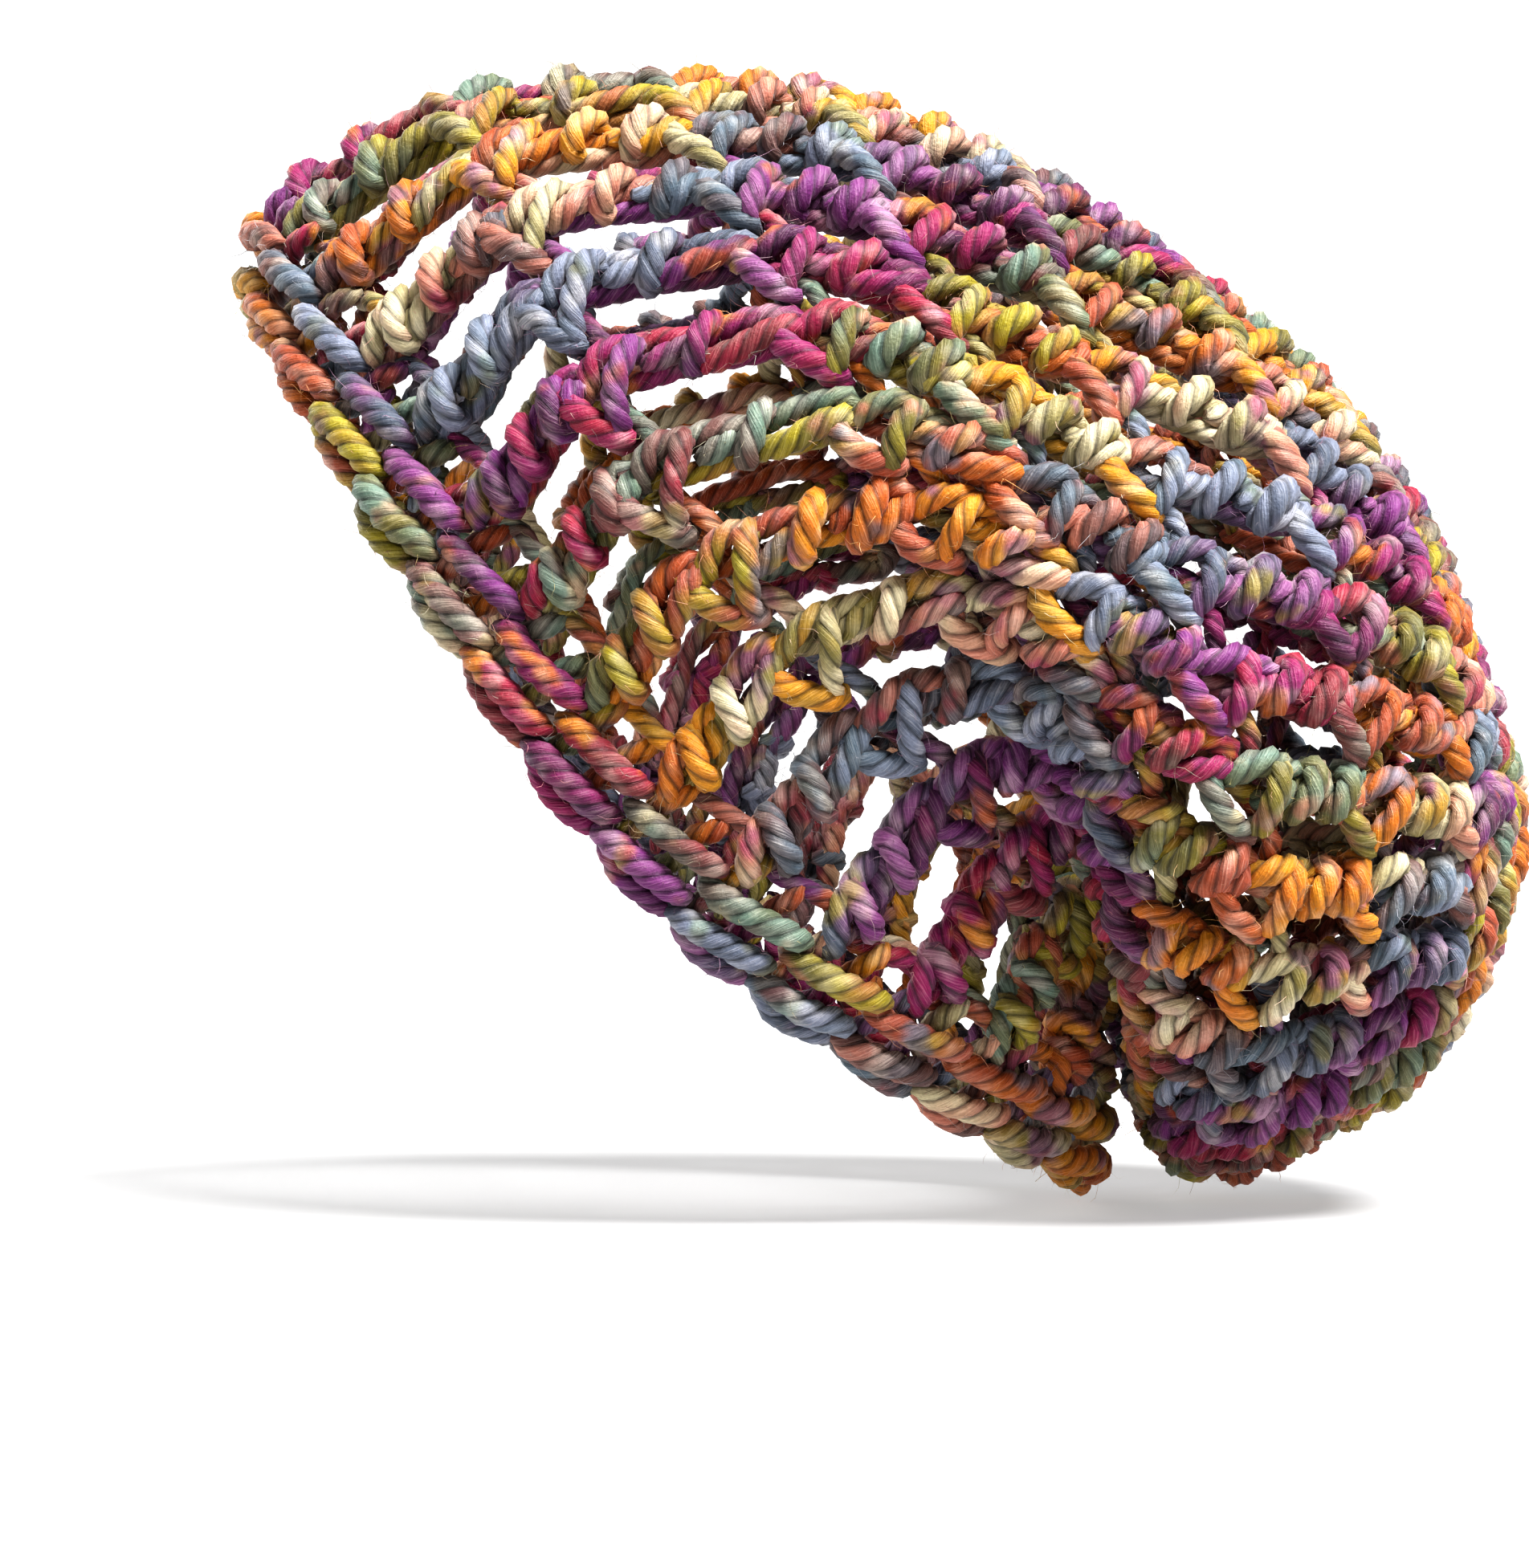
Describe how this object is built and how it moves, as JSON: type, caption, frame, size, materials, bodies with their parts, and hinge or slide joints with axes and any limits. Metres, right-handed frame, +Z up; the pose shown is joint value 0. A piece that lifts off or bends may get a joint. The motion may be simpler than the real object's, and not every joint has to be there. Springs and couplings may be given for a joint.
{
  "type": "crochet slouchy hat",
  "caption": "Chunky openwork crochet slouchy hat with a narrow chain-like brim band, rounds of tall stitches and a soft bag that hangs behind the head.",
  "frame": {"origin": "the inside of the top of the hat, on the middle plane, where the top of the head carries it", "axes": "+Z up; +Y from the forehead to the back; +X to the wearer's left; the hat is symmetric about X = 0"},
  "size_m": [0.2062, 0.262, 0.226],
  "materials": {
    "brim_yarn": "thick soft plied yarn, hand dyed in plum, rose, orange and olive, matt with a faint sheen",
    "mesh_yarn": "thick soft plied yarn, hand dyed in magenta, gold, olive, peach and slate, matt with a faint sheen",
    "crown_yarn": "thick soft plied yarn, hand dyed in gold, tan and mauve, matt with a faint sheen"
  },
  "bodies": {
    "root": {"brim_edge_row": "brim_yarn", "brim_band_row": "brim_yarn", "mesh_round_1": "mesh_yarn", "mesh_round_2": "mesh_yarn", "mesh_round_3": "mesh_yarn", "mesh_round_4": "mesh_yarn", "mesh_round_5": "mesh_yarn", "mesh_round_6": "mesh_yarn", "mesh_round_7": "mesh_yarn", "crown_round": "crown_yarn", "crown_closure": "crown_yarn"}
  },
  "joints": []
}
